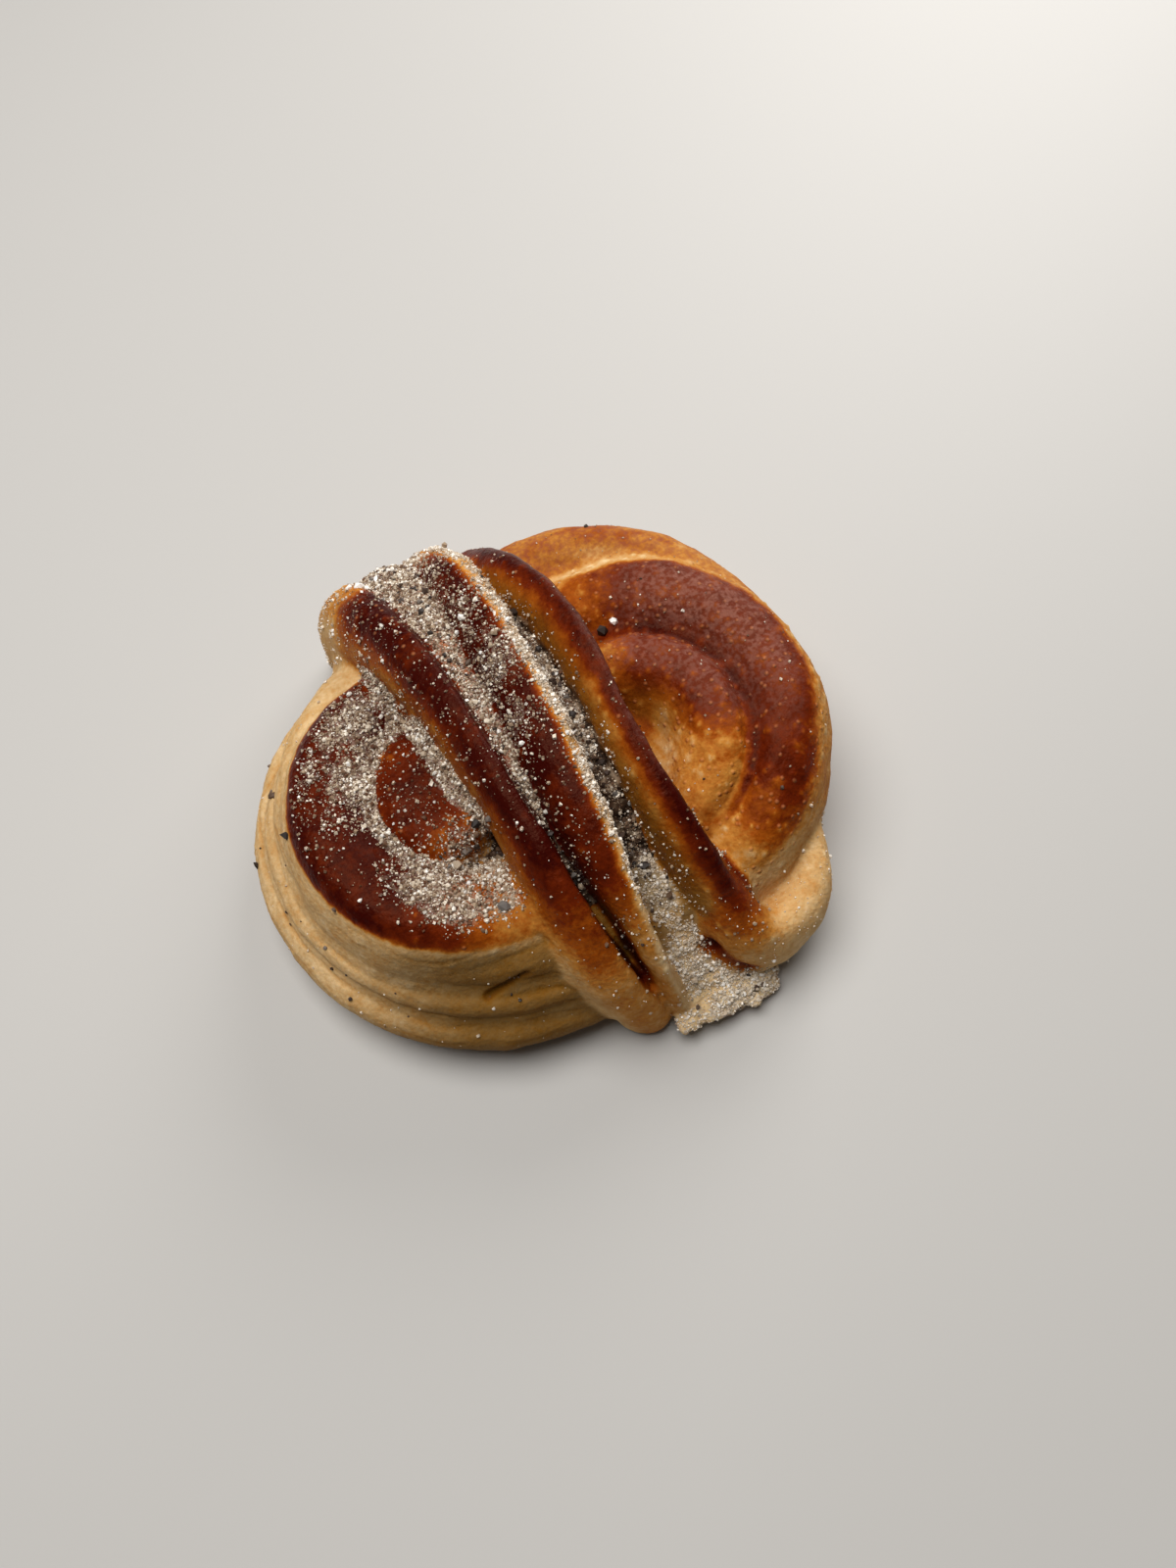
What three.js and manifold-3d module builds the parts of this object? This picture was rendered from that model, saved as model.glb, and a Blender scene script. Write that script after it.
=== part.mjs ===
// A cardamom bun: a strip of laminated dough wound into a flat coil, with its end laid
// over the top as a strap of three folds and tucked under at both sides.
// Millimetres, +Z up. X runs across the strap, Y along it towards its far foot. The
// origin is at the middle of the underside.
import * as THREE from "three";
import { mergeVertices } from "three/addons/utils/BufferGeometryUtils.js";
import Module from "manifold-3d";

const DEG = Math.PI / 180;
const Z_AXIS = new THREE.Vector3(0, 0, 1);

// Strands of dough have a rounded section, between an ellipse and a box.
const SECTION_POWER = 2.3;
// How late a turn starts to dive towards its ends; 1 is straight away.
const DIVE_POWER = 2.5;
// A small step along a strand, to find its direction.
const NUDGE = 0.001;

// The mounds of dough: the cushion under everything and the dome in the middle of the left
// lobe. Each has its reach at eight bearings from +X round through +Y, and its profile from
// the base up as [share of the reach, height].
const CUSHION = {
  centre: [0, 0],
  reach: [52, 51, 50, 51, 51, 46, 42, 47],
  profile: [[0.86, 0], [0.95, 2.5], [1, 8.5], [0.97, 15], [0.87, 21], [0.62, 25.5], [0.25, 26]],
};
const LEFT_DOME = {
  centre: [-13, 0],
  reach: [8, 12, 18, 19.5, 19.5, 17, 6.5, 5],
  profile: [[1, 17], [1, 23], [0.97, 27], [0.92, 29.5], [0.82, 31.9], [0.7, 33.2], [0.46, 34], [0.2, 33.5]],
};

// Turns of the coil: arcs seen from above, run clockwise, bearings in degrees. dip is how
// far the crest sinks at the two ends, where the turn dives under the strap, and inner is
// the width towards the centre at the two ends.
const TURNS = [
  {
    centre: [16.5, -4.5], radius: 28, bearings: [100, -100], crest: 36, dip: [6, 13],
    outer: 9.5, inner: [12.5, 6.5], halfHeight: 17,
  },
  {
    centre: [15.4, -7.4], radius: 16.5, bearings: [100, -95], crest: 35, dip: [5, 7],
    outer: 6.4, inner: [10, 10], halfHeight: 13,
  },
  {
    centre: [-15, 1], radius: 24.5, bearings: [292, 70], crest: 34.5, dip: [6, 6],
    outer: 8.5, inner: [13, 13], halfHeight: 16,
  },
];

// Layers of the dough that show along the wall: arcs like the turns, leaning out.
const LAYERS = [
  {
    centre: [-8, 4], radius: 38, bearings: [290, 95], crest: 26.5, dip: [2, 5],
    outer: 6, inner: [8, 8], halfHeight: 10, lean: 42,
  },
  {
    centre: [-8, 4], radius: 43, bearings: [288, 110], crest: 18.5, dip: [0, 7],
    outer: 4, inner: [4, 4], halfHeight: 8, lean: 58,
  },
  {
    centre: [-7, 3], radius: 48, bearings: [275, 90], crest: 11, dip: [4, 7],
    outer: 6, inner: [5, 5], halfHeight: 8, lean: 75,
  },
  {
    centre: [8.3, 3.2], radius: 42.7, bearings: [100, -62], crest: 29.5, dip: [9, 9],
    outer: 7, inner: [6, 6], halfHeight: 11, lean: 35,
  },
  {
    centre: [6, 5], radius: 47.5, bearings: [110, -60], crest: 13, dip: [6, 9],
    outer: 7, inner: [6, 6], halfHeight: 8, lean: 72,
  },
];

// The strap: an arch over the coil, and the folds that run along it. Each list holds the
// value at even steps of the arch's angle, from the front foot to the back foot: the
// sideways place of the crest, its drop below the arch, and the width to each side of it.
const ARCH = { height: 47, front: 49, back: 58, power: SECTION_POWER, swing: 88 };
const FOLDS = [
  {
    across: [-3.7, -7, -9.2, -9.4, -8.8, -9.8, -11.6, -13.4],
    drop: [0.5, 1.4, 2, 2, 2, 0, -1.5, -1],
    left: [7, 8.5, 7, 5.4, 6.4, 8, 8.2, 7],
    right: [1.6, 0.9, 1, 1.6, 2.2, 2.5, 3, 3],
    halfHeight: [6, 8, 9, 9, 9, 9, 9, 6],
  },
  {
    across: [0, -2.2, -1.5, 1.1, 4.8, 5.6, 4, 2.5],
    drop: [0, 0, 0, 0, 0, -0.6, -0.6, 0],
    left: [2.6, 2.4, 4.8, 7.6, 8, 7, 6.5, 5],
    right: [2.2, 2.2, 2.2, 2.4, 2.6, 4, 5, 5],
    halfHeight: [6, 8, 9, 9, 9, 8, 8, 6],
  },
  {
    across: [18, 15, 13, 12.8, 16.6, 14.2, 11, 9.5],
    drop: [2, 1, 1, 1, 1, 2.2, 3.6, 4],
    left: [5.5, 6, 6, 5, 6.5, 6, 6, 6],
    right: [3, 2.6, 2, 1.8, 2, 3, 4, 4],
    halfHeight: [6, 8, 10, 10, 10, 8, 8, 6],
  },
];
// The filling that lies in the two valleys between the folds.
const BEDS = [
  {
    across: [-3, -4.5, -6.5, -5.5, -4.6, -3.5, -5, -7],
    drop: [8, 10, 9, 5.4, 4.6, 1.2, -1.5, -1],
    left: [4, 4, 4, 5, 5, 7, 7, 6],
    right: [4, 4, 4, 5, 5, 7, 7, 6],
    halfHeight: [5, 8, 9, 9, 9, 9, 8, 6],
  },
  {
    across: [6, 5, 4, 5.5, 8, 6, 3, 2],
    drop: [14, 14, 10.5, 9, 8.5, 6, 4.5, 4],
    left: [8, 8],
    right: [8, 8],
    halfHeight: [5, 8, 10, 10, 10, 9, 7, 5],
  },
];

// Single strands, by the points of their crest, which leans out from the middle: the end
// of the right fold curling round into the wall, the flat tongue that slips out below it,
// and the layer that swells out under the left fold.
const STRANDS = [
  {
    points: [
      [13.2, -33, 34], [14.8, -43.3, 25.5], [19.5, -47.5, 20],
      [26.5, -46, 19.3], [32, -41.5, 19.8], [35.5, -34, 20.5],
    ],
    left: [2.5, 4.5, 5.5, 5, 4, 3.5],
    right: [2.5, 4.2, 4.6, 5, 4.6, 4],
    halfHeight: [5, 7.5, 9, 9, 9, 8.5],
    lean: 0.1,
  },
  {
    points: [[3.2, -28, 29], [6, -38, 19], [9.2, -46, 9.5], [7.6, -53.8, 4.2]],
    left: [4, 6.5, 9.5, 10.8],
    right: [4, 6.5, 9.5, 10.8],
    halfHeight: [6, 5, 4, 2.2],
    lean: 0.5,
  },
  {
    points: [[-36, -22, 7], [-30, -31.5, 10], [-22, -36.5, 13], [-11, -37, 15]],
    left: [2, 5, 6, 6],
    right: [2, 5, 6, 6],
    halfHeight: [3, 6, 7, 7],
    lean: 0.5,
  },
];

// Pearl sugar and crushed cardamom that lie on the dough, the largest of them: how many,
// how big across, and the patch they lie on. A patch is a ring segment about a centre or
// a band along the strap.
const SEED = 7;
const TRIES_PER_GRAIN = 40;
const GRAIN_SPACING = 2.1;
// How far a grain's middle stands above the dough, and its two shorter sizes, as shares of
// its size.
const GRAIN_RISE = 0.13;
const GRAIN_WIDTH = [0.7, 1];
const GRAIN_DEPTH = 0.75;
const LEFT_LOBE = [-15, 1];
const PATCHES = [
  { count: 13, size: [1, 1.5], centre: LEFT_LOBE, radii: [17, 29], bearings: [105, 190] },
  { count: 11, size: [1, 1.5], centre: LEFT_LOBE, radii: [15, 28], bearings: [205, 265] },
  { count: 6, size: [1, 1.4], centre: LEFT_LOBE, radii: [4, 14], bearings: [110, 230] },
  { count: 11, size: [1, 1.6], across: [-7.5, -2.5], along: [-8, 46] },
  { count: 12, size: [1, 1.5], across: [-2, 5.5], along: [-20, 44] },
  { count: 4, size: [1, 1.4], across: [-14, -10], along: [-30, 30] },
  { count: 6, size: [1.3, 2.2], across: [6, 9], along: [-16, 14] },
  { count: 4, size: [1.3, 2], across: [1.5, 6], along: [-36, -18] },
  { count: 4, size: [1.2, 1.9], across: [-8, -6.8], along: [-38, -18] },
  { count: 5, size: [1.2, 2], centre: [-17, -9], radii: [0, 4], bearings: [0, 360] },
  { count: 5, size: [1, 1.6], across: [0, 12], along: [-53, -44] },
  { count: 4, size: [1, 1.3], centre: [15, -9], radii: [17, 30], bearings: [60, -40] },
];
// Larger bits that lie by themselves: [place across, place along, size].
const LONE_BITS = [
  [-19.4, -23, 2.4],
  [23.1, 13.7, 2.3],
  [25.8, 13.7, 1.9],
  [-44.8, 9.4, 2],
  [34.4, 37.2, 1.6],
  [4.5, -28.3, 2.2],
];

// How finely each kind of piece is faceted: steps along its run and sides round it.
const CUSHION_SIDES = 56;
const DOME_SIDES = 32;
const FACETS = { turn: [28, 14], layer: [24, 10], fold: [30, 14], bed: [20, 12], strand: [14, 12] };

// The block below the base that is cut away, and a height above all of the bun.
const CUT = { width: 200, depth: 50 };
const ABOVE_ALL = 100;
const CRUST_COLOUR = 0x7a3f1c;

// A value between evenly spaced ones, by a Catmull-Rom spline.
function between(values, share, closed = false) {
  const count = values.length;
  const spans = closed ? count : count - 1;
  const along = Math.min(Math.max(share, 0), 1) * spans;
  const first = Math.min(Math.floor(along), spans - 1);
  const value = (i) => values[closed ? (i + count) % count : Math.min(Math.max(i, 0), count - 1)];
  const [a, b, c, d] = [-1, 0, 1, 2].map((step) => value(first + step));
  const t = along - first;
  return b + (t * (c - a + t * (2 * a - 5 * b + 4 * c - d + t * (3 * (b - c) + d - a)))) / 2;
}

const squared = (value, power) => Math.sign(value) * Math.abs(value) ** (2 / power);

// Faces between rings of points, closed by a fan at each end.
function skinOf(rings, firstEnd, lastEnd) {
  const sides = rings[0].length;
  const points = [...rings.flat(), firstEnd, lastEnd];
  const at = (ring, side) => ring * sides + (side % sides);
  const corners = [];
  for (let side = 0; side < sides; side++) {
    corners.push(points.length - 2, at(0, side + 1), at(0, side));
    corners.push(points.length - 1, at(rings.length - 1, side), at(rings.length - 1, side + 1));
    for (let ring = 0; ring < rings.length - 1; ring++) {
      corners.push(at(ring, side), at(ring, side + 1), at(ring + 1, side));
      corners.push(at(ring + 1, side), at(ring, side + 1), at(ring + 1, side + 1));
    }
  }
  return new THREE.BufferGeometry().setFromPoints(points).setIndex(corners);
}

function direction(crest, s) {
  const before = crest(Math.max(s - NUDGE, 0));
  return crest(Math.min(s + NUDGE, 1)).sub(before).normalize();
}

// A rope of dough. Its crest runs along crest(s) for s from 0 to 1 and faces up(s);
// left and right are its widths to each side, seen along the run.
function rope({ crest, up, left, right, halfHeight }, [steps, sides]) {
  const rings = [];
  const centres = [];
  for (let i = 0; i <= steps; i++) {
    const s = i / steps;
    const ahead = direction(crest, s);
    const raised = up(s);
    raised.addScaledVector(ahead, -raised.dot(ahead)).normalize();
    const leftward = new THREE.Vector3().crossVectors(raised, ahead);
    const centre = crest(s).addScaledVector(raised, -halfHeight(s));
    const ring = [];
    for (let j = 0; j < sides; j++) {
      const angle = (2 * Math.PI * j) / sides;
      const width = Math.cos(angle) > 0 ? left(s) : right(s);
      const point = centre.clone();
      point.addScaledVector(leftward, width * squared(Math.cos(angle), SECTION_POWER));
      point.addScaledVector(raised, halfHeight(s) * squared(Math.sin(angle), SECTION_POWER));
      ring.push(point);
    }
    rings.push(ring);
    centres.push(centre);
  }
  return skinOf(rings, centres[0], centres[steps]);
}

function mound({ centre, reach, profile }, sides) {
  const [x, y] = centre;
  const rings = profile.map(([share, height]) => {
    const ring = [];
    for (let j = 0; j < sides; j++) {
      const radius = share * between(reach, j / sides, true);
      const bearing = (2 * Math.PI * j) / sides;
      ring.push(new THREE.Vector3(x + radius * Math.cos(bearing), y + radius * Math.sin(bearing), height));
    }
    return ring;
  });
  const bottom = profile[0][1];
  const top = profile[profile.length - 1][1];
  return skinOf(rings, new THREE.Vector3(x, y, bottom), new THREE.Vector3(x, y, top));
}

// A turn of the coil or a layer of its wall.
function turn({ centre, radius, bearings, crest, dip, outer, inner, halfHeight, lean = 0 }, facets) {
  const outward = (s) => {
    const bearing = THREE.MathUtils.lerp(...bearings, s) * DEG;
    return new THREE.Vector3(Math.cos(bearing), Math.sin(bearing), 0);
  };
  const up = (s) => {
    const aside = outward(s).multiplyScalar(Math.sin(lean * DEG));
    return aside.addScaledVector(Z_AXIS, Math.cos(lean * DEG));
  };
  const sunk = (s) => (s < 0.5 ? dip[0] : dip[1]) * Math.abs(2 * s - 1) ** DIVE_POWER;
  const run = {
    crest: (s) => {
      const highest = outward(s).multiplyScalar(radius).add(new THREE.Vector3(...centre, crest));
      return highest.addScaledVector(up(s), -sunk(s));
    },
    up,
    left: () => outer,
    right: (s) => THREE.MathUtils.lerp(...inner, s),
    halfHeight: () => halfHeight,
  };
  return rope(run, facets);
}

// The sizes of a strand that are listed at even steps of its run.
function listed({ left, right, halfHeight }) {
  return {
    left: (s) => between(left, s),
    right: (s) => between(right, s),
    halfHeight: (s) => between(halfHeight, s),
  };
}

// A fold of the strap or the filling beside it.
function fold({ across, drop, ...sizes }, facets) {
  const crest = (s) => {
    const angle = (2 * s - 1) * ARCH.swing * DEG;
    const reach = angle > 0 ? ARCH.back : ARCH.front;
    const lower = between(drop, s);
    const y = (reach - lower) * squared(Math.sin(angle), ARCH.power);
    const z = (ARCH.height - lower) * squared(Math.cos(angle), ARCH.power);
    return new THREE.Vector3(between(across, s), y, z);
  };
  const up = (s) => {
    const ahead = direction(crest, s);
    return new THREE.Vector3(0, -ahead.z, ahead.y).normalize();
  };
  return rope({ crest, up, ...listed(sizes) }, facets);
}

function strand({ points, lean, ...sizes }, facets) {
  const alongAxis = [0, 1, 2].map((axis) => points.map((p) => p[axis]));
  const crest = (s) => new THREE.Vector3(...alongAxis.map((values) => between(values, s)));
  const up = (s) => crest(s).setZ(0).normalize().multiplyScalar(lean).setZ(1);
  return rope({ crest, up, ...listed(sizes) }, facets);
}

const wasm = await Module();
wasm.setup();

function solid(geometry) {
  const plain = mergeVertices(geometry.deleteAttribute("normal").deleteAttribute("uv"));
  const mesh = new wasm.Mesh({
    numProp: 3,
    vertProperties: new Float32Array(plain.attributes.position.array),
    triVerts: new Uint32Array(plain.index.array),
  });
  return new wasm.Manifold(mesh);
}

// The triangles of the outermost skin: hollows that the joining closed off are filled,
// and loose scraps dropped.
function outerSkin(corners, at) {
  const joined = at.map((_, i) => i);
  const root = (i) => {
    while (joined[i] !== i) i = joined[i];
    return i;
  };
  for (let i = 0; i < corners.length; i += 3) {
    joined[root(corners[i])] = root(corners[i + 1]);
    joined[root(corners[i + 1])] = root(corners[i + 2]);
  }
  const volume = new Map();
  for (let i = 0; i < corners.length; i += 3) {
    const [a, b, c] = [0, 1, 2].map((k) => at[corners[i + k]]);
    const skin = root(corners[i]);
    volume.set(skin, (volume.get(skin) ?? 0) + a.dot(b.clone().cross(c)) / 6);
  }
  const largest = [...volume].reduce((kept, other) => (other[1] > kept[1] ? other : kept))[0];
  return corners.filter((corner) => root(corner) === largest);
}

function meshOf(made, name, material) {
  const { vertProperties, triVerts, numProp } = made.getMesh();
  const at = [];
  for (let i = 0; i < vertProperties.length; i += numProp) {
    at.push(new THREE.Vector3().fromArray(vertProperties, i));
  }
  const skin = outerSkin(Array.from(triVerts), at);
  const geometry = new THREE.BufferGeometry().setFromPoints(skin.map((i) => at[i]));
  geometry.computeVertexNormals();
  const mesh = new THREE.Mesh(geometry, material);
  mesh.name = name;
  return mesh;
}

// A repeatable run of numbers from 0 to 1.
function seededRandom(seed) {
  const multiplier = 48271;
  const modulus = 2147483647;
  let state = seed;
  return () => {
    state = (state * multiplier) % modulus;
    return state / modulus;
  };
}

const pick = (range, random) => THREE.MathUtils.lerp(...range, random());

function placeIn({ centre, radii, bearings, across, along }, random) {
  if (!centre) return [pick(across, random), pick(along, random)];
  const bearing = pick(bearings, random) * DEG;
  const radius = pick(radii, random);
  return [centre[0] + radius * Math.cos(bearing), centre[1] + radius * Math.sin(bearing)];
}

// Grains set into the surface below them, none on top of another.
function grainsOn(surface) {
  const random = seededRandom(SEED);
  const placed = [];
  const grains = [];
  const down = new THREE.Raycaster();
  const lay = (x, y, size) => {
    down.set(new THREE.Vector3(x, y, ABOVE_ALL), new THREE.Vector3(0, 0, -1));
    const [hit] = down.intersectObject(surface);
    if (!hit || placed.some((other) => other.distanceTo(hit.point) < GRAIN_SPACING)) return false;
    placed.push(hit.point);
    const turned = new THREE.Euler(random() * Math.PI, random() * Math.PI, random() * Math.PI);
    const grain = new THREE.IcosahedronGeometry(size / 2, 0);
    grain.scale(1, pick(GRAIN_WIDTH, random), GRAIN_DEPTH);
    grain.applyMatrix4(new THREE.Matrix4().makeRotationFromEuler(turned));
    const middle = hit.point.addScaledVector(hit.face.normal, size * GRAIN_RISE);
    grains.push(grain.translate(middle.x, middle.y, middle.z));
    return true;
  };
  LONE_BITS.forEach(([x, y, size]) => lay(x, y, size));
  PATCHES.forEach((patch) => {
    let left = patch.count;
    for (let tries = 0; tries < TRIES_PER_GRAIN * patch.count && left > 0; tries++) {
      if (lay(...placeIn(patch, random), pick(patch.size, random))) left -= 1;
    }
  });
  return grains;
}

const pieces = [
  mound(CUSHION, CUSHION_SIDES),
  mound(LEFT_DOME, DOME_SIDES),
  ...TURNS.map((sizes) => turn(sizes, FACETS.turn)),
  ...LAYERS.map((sizes) => turn(sizes, FACETS.layer)),
  ...FOLDS.map((sizes) => fold(sizes, FACETS.fold)),
  ...BEDS.map((sizes) => fold(sizes, FACETS.bed)),
  ...STRANDS.map((sizes) => strand(sizes, FACETS.strand)),
];
const join = (solids) => solids.reduce((joined, other) => joined.add(other));
const block = new THREE.BoxGeometry(CUT.width, CUT.width, CUT.depth).translate(0, 0, -CUT.depth / 2);
const dough = join(pieces.map(solid)).subtract(solid(block));
const crust = new THREE.MeshStandardMaterial({ color: CRUST_COLOUR, roughness: 0.5, metalness: 0 });
const plain = meshOf(dough, "dough", crust);
const topped = join([dough, ...grainsOn(plain).map(solid)]);

const bun = new THREE.Group();
bun.add(meshOf(topped, "bun", crust));

export default bun;
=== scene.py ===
import math
from typing import NamedTuple

import bmesh
import bpy
import numpy as np
from mathutils import Matrix, Vector, kdtree, noise


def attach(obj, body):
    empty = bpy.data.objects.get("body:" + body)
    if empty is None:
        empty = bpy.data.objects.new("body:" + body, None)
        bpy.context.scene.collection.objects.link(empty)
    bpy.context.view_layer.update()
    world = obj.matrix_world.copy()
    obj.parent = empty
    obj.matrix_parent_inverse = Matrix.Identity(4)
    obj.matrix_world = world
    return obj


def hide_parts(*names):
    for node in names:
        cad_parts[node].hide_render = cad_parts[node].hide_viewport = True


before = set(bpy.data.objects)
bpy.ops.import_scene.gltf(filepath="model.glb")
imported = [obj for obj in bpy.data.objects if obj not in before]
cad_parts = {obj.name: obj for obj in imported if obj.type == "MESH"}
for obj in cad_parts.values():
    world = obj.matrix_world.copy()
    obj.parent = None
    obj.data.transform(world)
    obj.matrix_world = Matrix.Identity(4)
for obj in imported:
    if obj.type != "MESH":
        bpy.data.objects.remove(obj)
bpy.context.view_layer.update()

MM = 0.001

# The bun's strands of dough, in millimetres, as in the solid. A section's power is 2 for an
# ellipse and more for a squarer one. A strand's ends dive by a power of the way from its middle,
# and its direction is measured over a nudge of its run.
SECTION_POWER = 2.3
DIVE_POWER = 2.5
NUDGE = 0.001

# Mounds: their reach at eight bearings from +X round through +Y, and their profile from the
# base up as (share of the reach, height)
MOUNDS = {
    "cushion": dict(
        centre=(0, 0),
        reach=[52, 51, 50, 51, 51, 46, 42, 47],
        profile=[(0.86, 0), (0.95, 2.5), (1, 8.5), (0.97, 15), (0.87, 21), (0.62, 25.5), (0.25, 26)],
    ),
    "left dome": dict(
        centre=(-13, 0),
        reach=[8, 12, 18, 19.5, 19.5, 17, 6.5, 5],
        profile=[(1, 17), (1, 23), (0.97, 27), (0.92, 29.5),
                 (0.82, 31.9), (0.7, 33.2), (0.46, 34), (0.2, 33.5)],
    ),
}

# Turns of the coil and layers of its wall: arcs run clockwise, seen from above. The inner
# width is given at both ends of the arc.
ARCS = {
    "right outer turn": dict(
        centre=(16.5, -4.5), radius=28, bearings=(100, -100), crest=36, dip=(6, 13),
        outer=9.5, inner=(12.5, 6.5), half_height=17, lean=0,
    ),
    "right inner turn": dict(
        centre=(15.4, -7.4), radius=16.5, bearings=(100, -95), crest=35, dip=(5, 7),
        outer=6.4, inner=(10, 10), half_height=13, lean=0,
    ),
    "left outer turn": dict(
        centre=(-15, 1), radius=24.5, bearings=(292, 70), crest=34.5, dip=(6, 6),
        outer=8.5, inner=(13, 13), half_height=16, lean=0,
    ),
    "upper left layer": dict(
        centre=(-8, 4), radius=38, bearings=(290, 95), crest=26.5, dip=(2, 5),
        outer=6, inner=(8, 8), half_height=10, lean=42,
    ),
    "middle left layer": dict(
        centre=(-8, 4), radius=43, bearings=(288, 110), crest=18.5, dip=(0, 7),
        outer=4, inner=(4, 4), half_height=8, lean=58,
    ),
    "lower left layer": dict(
        centre=(-7, 3), radius=48, bearings=(275, 90), crest=11, dip=(4, 7),
        outer=6, inner=(5, 5), half_height=8, lean=75,
    ),
    "upper right layer": dict(
        centre=(8.3, 3.2), radius=42.7, bearings=(100, -62), crest=29.5, dip=(9, 9),
        outer=7, inner=(6, 6), half_height=11, lean=35,
    ),
    "lower right layer": dict(
        centre=(6, 5), radius=47.5, bearings=(110, -60), crest=13, dip=(6, 9),
        outer=7, inner=(6, 6), half_height=8, lean=72,
    ),
}

# Folds of the strap and the beds between them, from the front foot to the back foot, under one
# arch that swings this many degrees to each side of its top
ARCH_HEIGHT = 47
ARCH_FRONT = 49
ARCH_BACK = 58
ARCH_SWING = 88
FOLDS = {
    "left fold": dict(
        across=[-3.7, -7, -9.2, -9.4, -8.8, -9.8, -11.6, -13.4],
        drop=[0.5, 1.4, 2, 2, 2, 0, -1.5, -1],
        left=[7, 8.5, 7, 5.4, 6.4, 8, 8.2, 7], right=[1.6, 0.9, 1, 1.6, 2.2, 2.5, 3, 3],
        half_height=[6, 8, 9, 9, 9, 9, 9, 6],
    ),
    "middle fold": dict(
        across=[0, -2.2, -1.5, 1.1, 4.8, 5.6, 4, 2.5], drop=[0, 0, 0, 0, 0, -0.6, -0.6, 0],
        left=[2.6, 2.4, 4.8, 7.6, 8, 7, 6.5, 5], right=[2.2, 2.2, 2.2, 2.4, 2.6, 4, 5, 5],
        half_height=[6, 8, 9, 9, 9, 8, 8, 6],
    ),
    "right fold": dict(
        across=[18, 15, 13, 12.8, 16.6, 14.2, 11, 9.5], drop=[2, 1, 1, 1, 1, 2.2, 3.6, 4],
        left=[5.5, 6, 6, 5, 6.5, 6, 6, 6], right=[3, 2.6, 2, 1.8, 2, 3, 4, 4],
        half_height=[6, 8, 10, 10, 10, 8, 8, 6],
    ),
    "left bed": dict(
        across=[-3, -4.5, -6.5, -5.5, -4.6, -3.5, -5, -7],
        drop=[8, 10, 9, 5.4, 4.6, 1.2, -1.5, -1],
        left=[4, 4, 4, 5, 5, 7, 7, 6], right=[4, 4, 4, 5, 5, 7, 7, 6],
        half_height=[5, 8, 9, 9, 9, 9, 8, 6],
    ),
    "right bed": dict(
        across=[6, 5, 4, 5.5, 8, 6, 3, 2], drop=[14, 14, 10.5, 9, 8.5, 6, 4.5, 4],
        left=[8] * 8, right=[8] * 8, half_height=[5, 8, 10, 10, 10, 9, 7, 5],
    ),
}

# Single strands by the points of their crest
STRANDS = {
    "curl": dict(
        points=[(13.2, -33, 34), (14.8, -43.3, 25.5), (19.5, -47.5, 20), (26.5, -46, 19.3),
                (32, -41.5, 19.8), (35.5, -34, 20.5)],
        left=[2.5, 4.5, 5.5, 5, 4, 3.5], right=[2.5, 4.2, 4.6, 5, 4.6, 4],
        half_height=[5, 7.5, 9, 9, 9, 8.5], lean=0.1,
    ),
    "tongue": dict(
        points=[(3.2, -28, 29), (6, -38, 19), (9.2, -46, 9.5), (7.6, -53.8, 4.2)],
        left=[4, 6.5, 9.5, 10.8], right=[4, 6.5, 9.5, 10.8], half_height=[6, 5, 4, 2.2], lean=0.5,
    ),
    "front swell": dict(
        points=[(-36, -22, 7), (-30, -31.5, 10), (-22, -36.5, 13), (-11, -37, 15)],
        left=[2, 5, 6, 6], right=[2, 5, 6, 6], half_height=[3, 6, 7, 7], lean=0.5,
    ),
}

# The middle of the left wall's layers, as bearings on it are measured
WALL_CENTRE = (-8, 4)

# Two creases, sunk in and darkened with painted shade, one between the curl and the tongue and one
# torn in the front wall: their two ends and reach, then their depth and how dark their shade is
CURL_HOLLOW = dict(start=(9.6, -42.8, 13.8), end=(13.4, -47.6, 9.4), reach=2.2)
CURL_HOLLOW_DEPTH, CURL_HOLLOW_SHADE = 2.2, 1.3
WALL_SLIT = dict(start=(-29.3, -30.7, 20), end=(-22.2, -32.3, 24.3), reach=0.7)
WALL_SLIT_DEPTH, WALL_SLIT_SHADE = 1, 0.9

# Mesh fineness, and the rounds of averaging that smooth the skin, round its creases and find
# its hollows
ROPE_STEPS, ROPE_SIDES = 160, 56
MOUND_RINGS, MOUND_SIDES = 60, 180
VOXEL = 0.6 * MM
SMOOTH_ROUNDS, CREASE_ROUNDS, HOLLOW_ROUNDS = 4, 76, 9

# How deep a hollow is, in millimetres, where it counts in full as a crease and as one darkened
# with painted shade, and how much of the rounding the left wall gets
CREASE_DEPTH, CREASE_SHADE_DEPTH, WALL_ROUNDING = 0.35, 0.5, 0.9

# Noise on the skin: its strength, the width of its bumps in millimetres, and how far along its way
# it starts
NOISES = {
    "sugar patch": (1, 6, 21), "small sugar patch": (0.8, 2.2, 27), "sugar drift": (1.1, 8, 23),
    "blotch": (1, 7, 41), "small blotch": (0.6, 2.5, 47),
    "layer gap": (1, 9, 35), "layer wander": (6, 14, 31),
    "lump": (0.5, 11, 3), "small lump": (0.25, 4, 9), "pore": (1, 1.4, 14),
    "grit": (0.5, 1.5, 5), "coarse grit": (0.6, 3, 7),
}
NOISE_WAY = (1, 1.7, 0.6)

# Relief, in millimetres: pores on plain and on blistered crust, and the wall's thin layers,
# with the rise of a layer for each radian of its wave and how far its wander is stretched
PORE_DEPTH, BLISTERED_PORE_DEPTH = 0.07, 0.1
LAYER_HEIGHT, GROOVE_DEPTH = 0.08, 0.3
LAYER_RISE, LAYER_STRETCH = 0.42, (1, 1, 0.3)

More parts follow.
